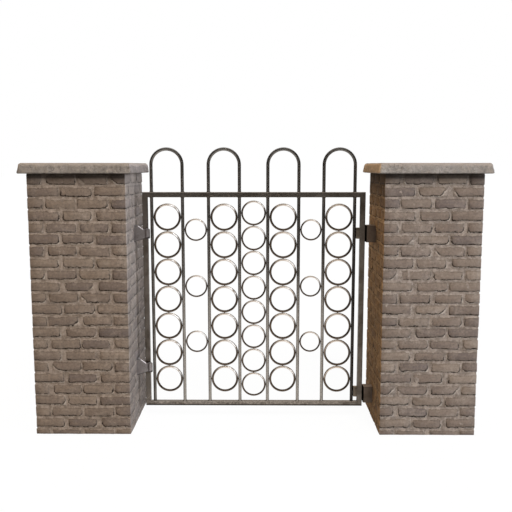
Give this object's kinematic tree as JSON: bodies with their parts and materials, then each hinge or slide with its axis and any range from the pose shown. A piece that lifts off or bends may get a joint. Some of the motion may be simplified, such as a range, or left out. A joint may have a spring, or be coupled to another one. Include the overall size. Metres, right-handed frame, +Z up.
{
  "type": "garden gate with brick piers",
  "caption": "Steel garden gate with bow-topped bars filled with stacked rings, swung on pin hinges between square brick piers with stone caps.",
  "frame": {"origin": "on the ground, midway between the two piers, at half their depth", "axes": "+X along the wall from the hinge pier to the latch pier, -Y towards the visitor, +Z up"},
  "size_m": [2.156, 0.524, 1.3575],
  "materials": {
    "brick": "old hand-made brick in lime mortar",
    "stone": "rough weathered sandstone",
    "steel": "weathered dark coating with rust",
    "ring_steel": "worn dark coating, brighter than the frame",
    "bracket_steel": "matt grey weathered steel"
  },
  "bodies": {
    "piers": {"left_pier": "brick", "right_pier": "brick", "left_cap": "stone", "right_cap": "stone", "upper_hinge_bracket": "bracket_steel", "lower_hinge_bracket": "bracket_steel", "upper_hinge_pin": "steel", "lower_hinge_pin": "steel", "upper_keep": "steel", "lower_keep": "steel"},
    "gate_leaf": {"top_rail": "steel", "bottom_rail": "steel", "hinge_stile": "steel", "latch_stile": "steel", "hoop_1": "steel", "hoop_2": "steel", "hoop_3": "steel", "hoop_4": "steel", "ring_column_1": "ring_steel", "ring_column_2": "ring_steel", "ring_column_3": "ring_steel", "ring_column_4": "ring_steel", "ring_column_5": "ring_steel", "ring_column_6": "ring_steel", "ring_column_7": "ring_steel", "upper_hinge_strap": "steel", "lower_hinge_strap": "steel", "upper_catch": "steel", "lower_catch": "steel"}
  },
  "joints": [
    {"name": "gate_hinge", "type": "hinge", "parent": "piers", "child": "gate_leaf", "pos_m": [-0.525, -0.0305, 0.6055], "axis": [0, 0, -1], "range_deg": [0, 100]}
  ]
}
